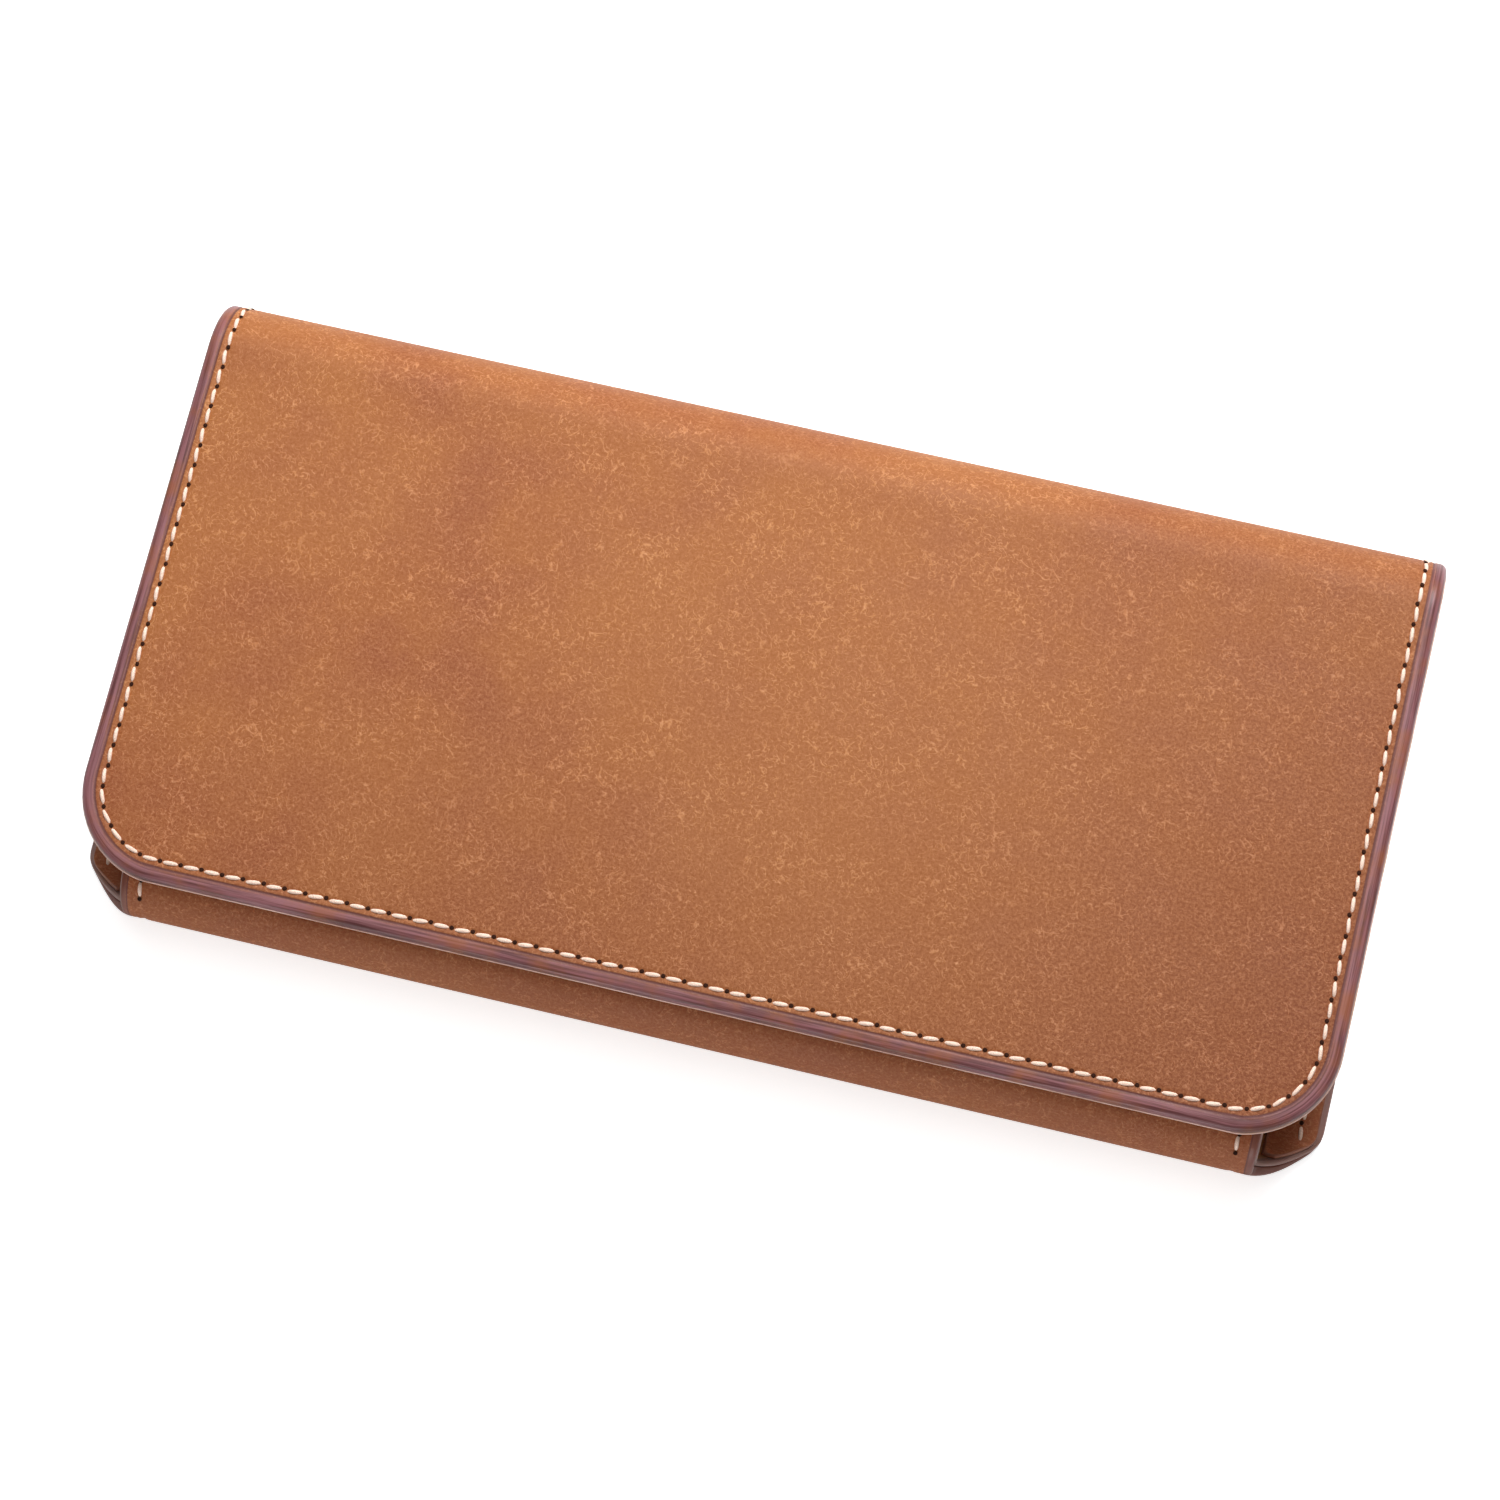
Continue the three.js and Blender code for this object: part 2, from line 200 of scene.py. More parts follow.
def rowsBetween(outline, s0, s1, step, bends=()):
    # lengths where the sheet needs a row: rims, corners, bends and an even spacing elsewhere
    low, high = outline[0][1], outline[-1][1]
    found = {s0, s1, s0 + 0.06, s1 - 0.06}
    found.update(s for _, s in outline)
    found.update(low + d for d in rimSteps)
    found.update(high - d for d in rimSteps)
    for a, b, spacing in ((s0, s1, step), *bends):
        steps = max(1, round((b - a) / spacing))
        found.update(a + (b - a) * i / steps for i in range(steps + 1))
    rows = []
    for s in sorted(f for f in found if s0 - 1e-6 <= f <= s1 + 1e-6):
        if not rows or s - rows[-1] > 0.04:
            rows.append(s)
    rows[-1] = s1
    return rows


def makeSheet(name, outline, s0, s1, place, depths, rims, grooves=(), centre=0.0, step=4.0, middle=20, bends=(),
              swell=None, rimWidth=None):
    # a closed sheet of leather: grain side at depths[0], flesh side at depths[1], rims rounded on both sides
    rows = rowsBetween(outline, s0, s1, step, bends)
    mesh = bmesh.new()
    rimLayer = mesh.verts.layers.float.new("rim")
    flatLayer = mesh.verts.layers.float_vector.new("flat")
    top, low = [], []
    for s in rows:
        width = rimWidth(s) if rimWidth else 1.0
        rise = swell(s) if swell else 0.0
        half = max(halfAt(outline, s), 0.5)
        inner = max(half - rimSteps[-1], 0.3)
        right = [half - d for d in rimSteps if half - d > inner]
        right += [inner * (1 - i / middle) for i in range(middle)]
        while len(right) < len(rimSteps) - 1 + middle:
            right.insert(1, right[0])
        topRow, lowRow = [], []
        for x in [-x for x in right] + [0.0] + right[::-1]:
            d = rimDistance(outline, abs(x), s)
            sink = roundDrop(d, rims[0] / max(1.0, width))
            sink += sum(deep * math.exp(-((d - at) / wide) ** 2) for at, deep, wide in grooves)
            for depth, side, kept in ((depths[0] + sink - rise, 0.0, topRow),
                                      (depths[1] - roundDrop(d, rims[1]) - rise, 0.02, lowRow)):
                vertex = mesh.verts.new(place(x + centre, s, depth))
                vertex[rimLayer] = d * width
                vertex[flatLayer] = Vector(((x + centre) * mm, s * mm, side))
                kept.append(vertex)
        top.append(topRow)
        low.append(lowRow)
    across = range(len(top[0]) - 1)
    for i in range(len(rows) - 1):
        for j in across:
            mesh.faces.new((top[i][j], top[i][j + 1], top[i + 1][j + 1], top[i + 1][j]))
            mesh.faces.new((low[i][j], low[i + 1][j], low[i + 1][j + 1], low[i][j + 1]))
        for j in (0, -1):
            mesh.faces.new((top[i][j], top[i + 1][j], low[i + 1][j], low[i][j]))
    for i, s in ((0, s0), (-1, s1)):
        isCut = outline[0][1] + 0.01 < s < outline[-1][1] - 0.01
        for j in across:
            face = mesh.faces.new((top[i][j], top[i][j + 1], low[i][j + 1], low[i][j]))
            for edge in face.edges if isCut else ():
                edge.smooth = False  # a cut end keeps hard edges, so its normals match the next length
    bmesh.ops.remove_doubles(mesh, verts=mesh.verts, dist=2e-6)
    bmesh.ops.recalc_face_normals(mesh, faces=mesh.faces)
    return meshObject(name, mesh)


def alongSection(path):
    # middle line of a section as a function: distance along it to place and normal
    lengths = [0.0]
    for a, b in zip(path, path[1:]):
        lengths.append(lengths[-1] + math.dist(a, b))

    def at(t):
        t = max(0.0, min(lengths[-1], t))
        k = max(i for i in range(len(path) - 1) if lengths[i] <= t + 1e-9)
        f = (t - lengths[k]) / (lengths[k + 1] - lengths[k])
        return [path[k][i] + (path[k + 1][i] - path[k][i]) * f for i in (0, 1)]

    def both(t):
        (x0, y0), (x1, y1) = at(t - 0.15), at(t + 0.15)
        size = math.hypot(x1 - x0, y1 - y0)
        return at(t), ((y0 - y1) / size, (x1 - x0) / size)

    return both, lengths[-1]


def makeStrip(name, path, thickness, rows, toWorld, ends=None, columns=40, rim=0.25):
    # a closed strip whose section follows path; ends gives its first and last distance along the path at a row
    section, total = alongSection(path)
    mesh = bmesh.new()
    rimLayer = mesh.verts.layers.float.new("rim")
    flatLayer = mesh.verts.layers.float_vector.new("flat")
    grid = []
    for row in rows:
        t0, t1 = ends(row) if ends else (0.0, total)
        span = t1 - t0
        steps = [min(e, span * 0.1 * i) for i, e in enumerate(fineSteps)]
        inner = [steps[-1] + (span - 2 * steps[-1]) * i / columns for i in range(1, columns)]
        line = [t0 + e for e in steps + inner] + [t1 - e for e in reversed(steps)]
        upper, lower = [], []
        for t in line:
            (a, b), (na, nb) = section(t)
            d = min(t - t0, t1 - t, row - rows[0], rows[-1] - row)
            half = thickness / 2 - roundDrop(d, rim)
            for side, kept in ((1, upper), (-1, lower)):
                vertex = mesh.verts.new(toWorld(a + na * half * side, b + nb * half * side, row))
                vertex[rimLayer] = d
                vertex[flatLayer] = Vector((t, row, 20 * side)) * mm
                kept.append(vertex)
        grid.append((upper, lower))
    across = range(len(grid[0][0]) - 1)
    for (u0, l0), (u1, l1) in zip(grid, grid[1:]):
        for j in across:
            mesh.faces.new((u0[j], u0[j + 1], u1[j + 1], u1[j]))
            mesh.faces.new((l0[j], l1[j], l1[j + 1], l0[j + 1]))
        for j in (0, -1):
            mesh.faces.new((u0[j], u1[j], l1[j], l0[j]))
    for upper, lower in (grid[0], grid[-1]):
        for j in across:
            mesh.faces.new((upper[j], lower[j], lower[j + 1], upper[j + 1]))
    bmesh.ops.remove_doubles(mesh, verts=mesh.verts, dist=2e-6)
    bmesh.ops.recalc_face_normals(mesh, faces=mesh.faces)
    return meshObject(name, mesh)


def evenRows(low, high, step):
    count = max(2, round((high - low - 2) / step))
    middle = [low + 1 + (high - low - 2) * i / count for i in range(1, count)]
    return [low + f for f in fineSteps] + middle + [high - f for f in reversed(fineSteps)]


def newObject(name, data):
    made = bpy.data.objects.new(name, data)
    bpy.context.scene.collection.objects.link(made)
    return made


def meshObject(name, mesh):
    data = bpy.data.meshes.new(name)
    for face in mesh.faces:
        face.smooth = True
    mesh.to_mesh(data)
    mesh.free()
    return newObject(name, data)


def wire(tree, kind, inputs=None, **settings):
    # a new node with its settings made, and each input either linked or set
    made = tree.nodes.new(kind)
    for key, value in settings.items():
        setattr(made, key, value)
    for key, value in (inputs or {}).items():
        if isinstance(value, bpy.types.NodeSocket):
            tree.links.new(value, made.inputs[key])
        else:
            made.inputs[key].default_value = value
    return made


def first(tree, kind, inputs=None, **settings):
    return wire(tree, kind, inputs, **settings).outputs[0]


def calc(tree, operation, a, b=0.0):
    return first(tree, "ShaderNodeMath", {0: a, 1: b}, operation=operation)


def times(tree, a, b):
    return calc(tree, "MULTIPLY", a, b)


def combine(tree, x=0.0, y=0.0, z=0.0):
    return first(tree, "ShaderNodeCombineXYZ", {0: x, 1: y, 2: z})


def ramp(tree, value, low, high, start=0.0, end=1.0):
    limits = {"Value": value, "From Min": low, "From Max": high, "To Min": start, "To Max": end}
    return first(tree, "ShaderNodeMapRange", limits, interpolation_type="SMOOTHSTEP")


def blendColour(tree, factor, a, b, mode="MIX"):
    return wire(tree, "ShaderNodeMix", {0: factor, 6: a, 7: b}, data_type="RGBA", blend_type=mode).outputs[2]


def noise(tree, vector, scale, detail=2.0, roughness=0.5, distortion=0.0):
    return first(tree, "ShaderNodeTexNoise", {
        "Vector": vector, "Scale": scale, "Detail": detail, "Roughness": roughness, "Distortion": distortion})


def newGroup(name, treeKind, inputs, outputs):
    # each socket is given as label: default value, or as label: kind of socket
    group = bpy.data.node_groups.new(name, treeKind)
    for side, sockets in (("INPUT", inputs), ("OUTPUT", outputs)):
        for label, value in sockets.items():
            kind = value if isinstance(value, str) else "Int" if isinstance(value, int) else "Float"
            socket = group.interface.new_socket(name=label, in_out=side, socket_type="NodeSocket" + kind)
            if kind != value:
                socket.default_value = value
    return group, group.nodes.new("NodeGroupInput").outputs, group.nodes.new("NodeGroupOutput").inputs


def fibreGroup():
    # short fibres: thin contour lines of several noises, broken up by a second noise
    group, given, out = newGroup("buffedFibres", "ShaderNodeTree", {
        "Vector": "Vector", "Scale": 400.0, "Width": 0.02, "Cover": 0.5}, {"Mask": "Float"})
    total = None
    for i, (stretch, turn) in enumerate(((1.0, 0.3), (1.25, 1.5), (0.8, 2.6), (1.55, 0.9), (1.1, 2.1))):
        shifted = first(group, "ShaderNodeMapping", {
            "Vector": given["Vector"], "Location": (0.13 * i, 0.29 * i, 0.07 * i), "Rotation": (0, 0, turn)})
        scale = times(group, given["Scale"], stretch)
        field = noise(group, shifted, scale, 1.0, 0.4, 0.35)
        line = calc(group, "ABSOLUTE", calc(group, "SUBTRACT", field, 0.5))
        thin = calc(group, "SUBTRACT", 1.0, calc(group, "DIVIDE", line, given["Width"]))
        gate = noise(group, shifted, times(group, scale, 1.5), 1.0, 0.5)
        gate = ramp(group, gate, given["Cover"], calc(group, "ADD", given["Cover"], 0.08))
        hair = times(group, calc(group, "MAXIMUM", thin, 0.0), gate)
        total = hair if total is None else calc(group, "MAXIMUM", total, hair)
    group.links.new(total, out["Mask"])
    return group


def grainGroup():
    # fine leather grain as a height, and slow cloudy mottling as a value
    group, given, out = newGroup("leatherGrain", "ShaderNodeTree", {
        "Vector": "Vector", "Grain Scale": 2500.0, "Cloud Scale": 60.0}, {"Height": "Float", "Cloud": "Float"})
    fine = noise(group, given["Vector"], given["Grain Scale"], 3.0, 0.6)
    cells = first(group, "ShaderNodeTexVoronoi", {
        "Vector": given["Vector"], "Scale": times(group, given["Grain Scale"], 0.6)}, feature="SMOOTH_F1")
    group.links.new(calc(group, "ADD", times(group, fine, 0.6), times(group, cells, 0.4)), out["Height"])
    group.links.new(noise(group, given["Vector"], given["Cloud Scale"], 4.0, 0.55), out["Cloud"])
    return group


def rimGroup():
    # Rim is 1 on the burnished edge and 0 in the field; Streak runs along the edge; Crease is its tooled line
    group, given, out = newGroup("burnishedRim", "ShaderNodeTree", {
        "Vector": "Vector", "Breadth": 2.2, "Softness": 0.6, "Crease At": 2.1},
        {"Rim": "Float", "Streak": "Float", "Crease": "Float"})
    distance = wire(group, "ShaderNodeAttribute", attribute_name="rim").outputs["Fac"]
    waver = calc(group, "SUBTRACT", noise(group, given["Vector"], 220.0, 3.0, 0.6), 0.5)
    shifted = calc(group, "ADD", distance, times(group, waver, 0.7))
    inner = calc(group, "ADD", given["Breadth"], given["Softness"])
    group.links.new(ramp(group, shifted, inner, given["Breadth"]), out["Rim"])
    place = wire(group, "ShaderNodeSeparateXYZ", {0: given["Vector"]}).outputs
    stretched = combine(group, times(group, distance, 2.4), *(times(group, place[i], 55.0) for i in (0, 1)))
    group.links.new(noise(group, stretched, 1.0, 3.0, 0.65, 0.3), out["Streak"])
    away = calc(group, "ABSOLUTE", calc(group, "SUBTRACT", distance, given["Crease At"]))
    group.links.new(ramp(group, away, 0.34, 0.06), out["Crease"])
    return group


groups = {"fibres": fibreGroup(), "grain": grainGroup(), "rim": rimGroup()}


def use(tree, name, inputs):
    return wire(tree, "ShaderNodeGroup", inputs, node_tree=groups[name]).outputs


def newMaterial(name, **fixed):
    material = bpy.data.materials.new(name)
    material.use_nodes = True
    tree = material.node_tree
    shader = tree.nodes["Principled BSDF"]
    for key, value in fixed.items():
        shader.inputs[key].default_value = value
    return material, tree, shader


def relief(tree, shader, height, strength, distance=0.1):
    bump = first(tree, "ShaderNodeBump", {"Height": height, "Strength": strength, "Distance": distance * mm})
    tree.links.new(bump, shader.inputs["Normal"])


def objectVector(tree):
    return wire(tree, "ShaderNodeTexCoord").outputs["Object"]


def leatherMaterial(name, look):
    material, tree, shader = newMaterial(name, **{"Specular IOR Level": look["specular"],
                                                  "Sheen Weight": look["sheen"], "Sheen Roughness": 0.35})
    # where each point lies in the flat hide
    where = wire(tree, "ShaderNodeAttribute", attribute_name="flat").outputs["Vector"]
    place = wire(tree, "ShaderNodeSeparateXYZ", {0: where}).outputs
    clouds = look["cloudScale"]
    grain = use(tree, "grain", {"Vector": where, "Grain Scale": look["grainScale"], "Cloud Scale": clouds})

    # uneven dye, then painted shade darker towards the flap's end and right side, painted shade under the flap over
    # the base fold and front, and a painted pool of light in the middle of the flap
    colour = blendColour(tree, ramp(tree, grain["Cloud"], 0.32, 0.68), look["dark"], look["base"])
    slow = noise(tree, where, clouds * 0.4, 3.0, 0.5)
    colour = blendColour(tree, ramp(tree, slow, 0.35, 0.7), colour, look["warm"])
    # painted shade: darker and redder towards the flap's end and its right side, standing in for the light's
    # falloff
    flapEndAndRight = calc(tree, "ADD", times(tree, place[0], 0.55), place[1])
    falloffShadeAmount = ramp(tree, flapEndAndRight, look["falloffShadeFrom"], look["falloffShadeTo"], 0.0, look["falloffShadeAmount"])
    colour = blendColour(tree, falloffShadeAmount, colour, look["falloffShade"])
    # painted shade under the flap's edge: the base fold darkened and reddened in full, the front less
    lower = ramp(tree, place[1], (backStart + 4) * mm, (baseStart + 2) * mm, 0.0, look["shadedShow"])
    lower = times(tree, lower, ramp(tree, place[1], (baseStart - 25) * mm, baseStart * mm, 0.3, 1.0))
    colour = blendColour(tree, lower, colour, look["shaded"])
    # painted light: a paler pool round a point in the middle of the flap
    away = wire(tree, "ShaderNodeVectorMath", {0: where, 1: look["paintedLightAt"]}, operation="DISTANCE")
    paintedLightPool = ramp(tree, away.outputs["Value"], look["paintedLightReach"], 0.0, 0.0, look["paintedLightShow"])
    colour = blendColour(tree, paintedLightPool, colour, look["paintedLightPool"])

    # light flecks and fibres
    fleck = noise(tree, where, look["grainScale"] * 0.8, 2.0, 0.7)
    colour = blendColour(tree, ramp(tree, fleck, 0.3, 0.75, 0.0, look["fleck"]), colour, look["light"])
    fibre = use(tree, "fibres", {"Vector": where, "Scale": look["fibreScale"], "Width": look["fibreWidth"],
                                 "Cover": look["fibreCover"]})["Mask"]
    patch = ramp(tree, noise(tree, where, clouds * 1.3, 2.0, 0.5), 0.35, 0.65, 0.5, 1.0)
    fibre = times(tree, fibre, patch)
    colour = blendColour(tree, times(tree, fibre, look["fibreShow"]), colour, look["fibre"], "MULTIPLY")

    # the burnished rim and its crease
    edge = use(tree, "rim", {"Vector": where, "Breadth": look["rimBreadth"], "Softness": look["rimSoft"],
                             "Crease At": look["creaseAt"]})
    rim = edge["Rim"]
    rimTone = blendColour(tree, ramp(tree, edge["Streak"], 0.34, 0.66), look["rimDark"], look["rimLight"])
    thinned = ramp(tree, noise(tree, where, 130.0, 3.0, 0.6), 0.42, 0.7, 0.0, 0.55)
    rimTone = blendColour(tree, thinned, rimTone, look["base"])
    low = ramp(tree, place[1], look["deepFrom"] - 0.003, look["deepFrom"])
    deep = times(tree, low, ramp(tree, place[1], look["deepTo"] + 0.002, look["deepTo"], 0.0, 0.75))
    rimTone = blendColour(tree, deep, rimTone, look["deepRim"])
    crease = times(tree, edge["Crease"], look["crease"])
    colour = blendColour(tree, crease, colour, look["rimDark"])
    colour = blendColour(tree, rim, colour, rimTone)
    colour = blendColour(tree, times(tree, crease, 0.5), colour, look["rimDark"])
    tree.links.new(colour, shader.inputs["Base Color"])

    uneven = times(tree, calc(tree, "SUBTRACT", grain["Cloud"], 0.5), 0.2)
    rough = calc(tree, "ADD", look["rough"], uneven)
    rough = first(tree, "ShaderNodeMix", {0: rim, 2: rough, 3: look["rimRough"]}, data_type="FLOAT")
    tree.links.new(rough, shader.inputs["Roughness"])
    height = calc(tree, "ADD", grain["Height"], times(tree, fibre, 0.5))
    height = times(tree, height, ramp(tree, rim, 1.0, 0.0, 0.25, 1.0))
    relief(tree, shader, height, look["bump"], 0.2)
    return material


outerLook = {
    "base": (0.285, 0.086, 0.02, 1), "dark": (0.232, 0.058, 0.015, 1), "warm": (0.305, 0.099, 0.0225, 1),
    "grainScale": 2600.0, "cloudScale": 70.0, "specular": 0.24, "sheen": 0.1, "rough": 0.6, "bump": 0.3,
    # painted shade: darker and redder towards the flap's end and its right side, for the light's falloff
    "falloffShade": (0.155, 0.0335, 0.0075, 1), "falloffShadeFrom": 0.195, "falloffShadeTo": 0.345, "falloffShadeAmount": 0.9,
    # painted shade under the flap, over the base fold and the front
    "shaded": (0.225, 0.045, 0.009, 1), "shadedShow": 0.75,
    # painted light: a paler pool in the middle of the flap
    "paintedLightPool": (0.33, 0.116, 0.027, 1), "paintedLightAt": (0.02, (flapStart + 42) * mm, 0.0), "paintedLightReach": 0.085,
    "paintedLightShow": 0.5,
    "light": (0.5, 0.212, 0.09, 1), "fleck": 0.35,
    "fibre": (1.8, 2.35, 3.3, 1), "fibreScale": 520.0, "fibreWidth": 0.024, "fibreCover": 0.5,
    "fibreShow": 0.72,
    "rimDark": (0.09, 0.029, 0.029, 1), "rimLight": (0.25, 0.104, 0.114, 1), "rimRough": 0.34,
    "rimBreadth": 1.5, "rimSoft": 0.9, "creaseAt": 2.1, "crease": 0.75,
    "deepRim": (0.17, 0.052, 0.029, 1), "deepFrom": -0.01, "deepTo": (backStart + 2) * mm,
}
plainLook = {**outerLook, "paintedLightShow": 0.0, "shadedShow": 0.0, "crease": 0.0}
gussetLook = {
    **plainLook, "base": (0.3, 0.083, 0.031, 1), "warm": (0.33, 0.094, 0.036, 1), "deepTo": -0.02,
    "rimDark": (0.2, 0.07, 0.04, 1), "rimLight": (0.32, 0.14, 0.09, 1), "rimBreadth": 0.1, "rimSoft": 0.35,
}
liningLook = {
    **plainLook, "base": (0.5, 0.27, 0.125, 1), "dark": (0.465, 0.248, 0.114, 1),
    "warm": (0.52, 0.288, 0.137, 1), "light": (0.62, 0.4, 0.23, 1),
    "fleck": 0.2, "fibreShow": 0.15, "falloffShadeAmount": 0.0, "rough": 0.55, "bump": 0.2,
    # the lining's pale pink edge is partly the lining's own edge colour and partly a painted highlight where it
    # catches the light
    "rimDark": (0.76, 0.48, 0.41, 1), "rimLight": (0.94, 0.69, 0.62, 1), "rimRough": 0.3,
    "rimBreadth": 0.3, "rimSoft": 0.3,
    "deepRim": (0.13, 0.05, 0.042, 1), "deepFrom": (baseStart + 6) * mm, "deepTo": topStart * mm,
}


def threadMaterial():
    material, tree, shader = newMaterial("creamThread", Roughness=0.7, **{"Specular IOR Level": 0.25})
    twist = noise(tree, objectVector(tree), 5000.0, 2.0, 0.6)
    colour = blendColour(tree, ramp(tree, twist, 0.3, 0.7), (0.74, 0.52, 0.41, 1), (0.95, 0.74, 0.62, 1))
    tree.links.new(colour, shader.inputs["Base Color"])
    relief(tree, shader, twist, 0.5)
    return material


def holeShadeMaterial():
    # the near-black colour is painted shade inside the stitch hole
    material, tree, shader = newMaterial("stitchHoleShade", Roughness=0.9, **{"Specular IOR Level": 0.05})
    cloud = noise(tree, objectVector(tree), 2000.0)
    colour = blendColour(tree, cloud, (0.016, 0.006, 0.004, 1), (0.05, 0.018, 0.011, 1))
    tree.links.new(colour, shader.inputs["Base Color"])
    return material


def tapeMaterial():
    soft = {"Specular IOR Level": 0.15, "Sheen Weight": 0.2}
    material, tree, shader = newMaterial("zipTape", Roughness=0.85, **soft)
    weave = {"Vector": objectVector(tree), "Scale": 620.0, "Distortion": 0.6}
    ribs = wire(tree, "ShaderNodeTexWave", weave, bands_direction="X").outputs["Fac"]
    colour = blendColour(tree, ribs, (0.1, 0.045, 0.022, 1), (0.2, 0.095, 0.05, 1))
    tree.links.new(colour, shader.inputs["Base Color"])
    relief(tree, shader, ribs, 0.5)
    return material


def brassMaterial():
    material, tree, shader = newMaterial("satinBrass", Metallic=1.0)
    wear = noise(tree, objectVector(tree), 900.0, 4.0, 0.6)
    colour = blendColour(tree, wear, (0.55, 0.36, 0.13, 1), (0.78, 0.58, 0.28, 1))
    tree.links.new(colour, shader.inputs["Base Color"])
    tree.links.new(ramp(tree, wear, 0.2, 0.8, 0.22, 0.42), shader.inputs["Roughness"])
    return material


materials = {
    "outer": leatherMaterial("tanLeather", outerLook),
    "gusset": leatherMaterial("gussetLeather", gussetLook),
    "lining": leatherMaterial("liningLeather", liningLook),
    "thread": threadMaterial(),
    "hole": holeShadeMaterial(),
    "tape": tapeMaterial(),
    "brass": brassMaterial(),
}


def dress(piece, finish):
    piece.data.materials.clear()
    piece.data.materials.append(materials[finish])
    return piece


print("materials ready")

outerEdge = outerOutline(0.0)
liningEdge = outerOutline(-0.2)
seamGroove = (wallet["seamInset"], 0.16, 0.45)
creaseLine = (2.1, 0.1, 0.16)
outerDepths = (0.0, wallet["outer"])
liningDepths = (wallet["liningDepth"], liningTop)
baseBend = (baseStart, backStart, 0.75)
topBend = (topStart, flapStart, 0.87)
frontBlend = (wrapped(0, baseStart + 0.75 * (backStart - baseStart), 0),
              wrapped(0, baseStart + 0.25 * (backStart - baseStart), 0))


def topTurn(degrees):
    return wrapped(0, topAngle(degrees), 0)


# name, first and last length, bodies, blend start and end, CAD nodes it stands for
stretches = [
    ("front", 0.0, baseCut, ("back", "front"), frontBlend, ("base_back", "base_front", "front")),
    ("back", baseCut, lowerCut, ("back", "fold_lower"), (topTurn(3), topTurn(57)), ("back", "fold_back")),
    ("fold", lowerCut, upperCut, ("fold_lower", "fold_upper"), (topTurn(63), topTurn(117)),
     ("fold_lower", "fold_upper")),
    ("flap", upperCut, pathEnd, ("fold_upper", "flap"), (topTurn(123), topTurn(177)), ("fold_flap", "flap")),
]


def edgeWidth(s):
    # the burnish is narrow down the front's sides and over the ears
    share = max(0.0, min(1.0, (backStart + 2 - s) / 14))
    return 1.0 + 0.7 * share


def liningWidth(s):
    # the lining's burnish spreads inwards on the ears and up the back's sides
    share = max(0.0, min(1.0, (s - baseStart - 4) / 4)) * max(0.0, min(1.0, (topStart + 2 - s) / 4))
    return 1.0 - 0.75 * share


def makeLayer(finish, outline, depths, rims, grooves, width):
    for name, s0, s1, bodies, (start, end), nodes in stretches:
        bends = [(max(low, s0), min(high, s1), step) for low, high, step in (baseBend, topBend)
                 if low < s1 and high > s0]
        piece = makeSheet(f"{finish}Leather_{name}", outline, max(s0, outline[0][1]), min(s1, outline[-1][1]),
                          wrapped, depths, rims, grooves, bends=bends, rimWidth=width)
        dress(piece, finish)
        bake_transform(piece)
        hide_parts(*[f"{finish}_{n}" for n in nodes])


makeLayer("outer", outerEdge, outerDepths, (1.15, 0.3), (seamGroove, creaseLine), edgeWidth)
makeLayer("lining", liningEdge, liningDepths, (0.15, 0.35), (), liningWidth)
print("leather made")


def alongPath(points, spacing):
    # even steps along a polyline of (x, s): middle and direction of each step
    lengths = [math.dist(a, b) for a, b in zip(points, points[1:])]
    total = sum(lengths)
    count = max(1, round(total / spacing))
    steps = []
    for i in range(count):
        want = (i + 0.5) * total / count
        k = 0
        while k < len(lengths) - 1 and want > lengths[k]:
            want -= lengths[k]
            k += 1
        t = want / lengths[k]
        (x0, s0), (x1, s1) = points[k], points[k + 1]
        steps.append((x0 + (x1 - x0) * t, s0 + (s1 - s0) * t, (x1 - x0) / lengths[k], (s1 - s0) / lengths[k]))
    return steps


def facing(tree):
    # turns Z to each point's normal and X along its direction
    along, up = (first(tree, "GeometryNodeInputNamedAttribute", {"Name": label}, data_type="FLOAT_VECTOR")
                 for label in ("along", "up"))
    turn = first(tree, "FunctionNodeAlignRotationToVector", {"Vector": up}, axis="Z")
    return first(tree, "FunctionNodeAlignRotationToVector", {"Rotation": turn, "Vector": along},
                 axis="X", pivot_axis="Z")


def setOnPoints(tree, points, instance, rotation):
    placed = first(tree, "GeometryNodeInstanceOnPoints", {
        "Points": points, "Instance": instance, "Rotation": rotation})
    return first(tree, "GeometryNodeRealizeInstances", {"Geometry": placed})


def coated(tree, geometry, finish):
    return first(tree, "GeometryNodeSetMaterial", {"Geometry": geometry, "Material": materials[finish]})


# one stitch: its length, the radii of thread and hole, the height of its crown, and its lean across the seam
stitch = {
    "Length": 2.25 * mm,
    "Thread": 0.33 * mm,
    "Pitch": wallet["pitch"] * mm,
    "Hole": 0.39 * mm,
    "Rise": 0.3 * mm,
    "Lean": 0.09,
    "Unevenness": 0.05,
    "Seed": 0,
}


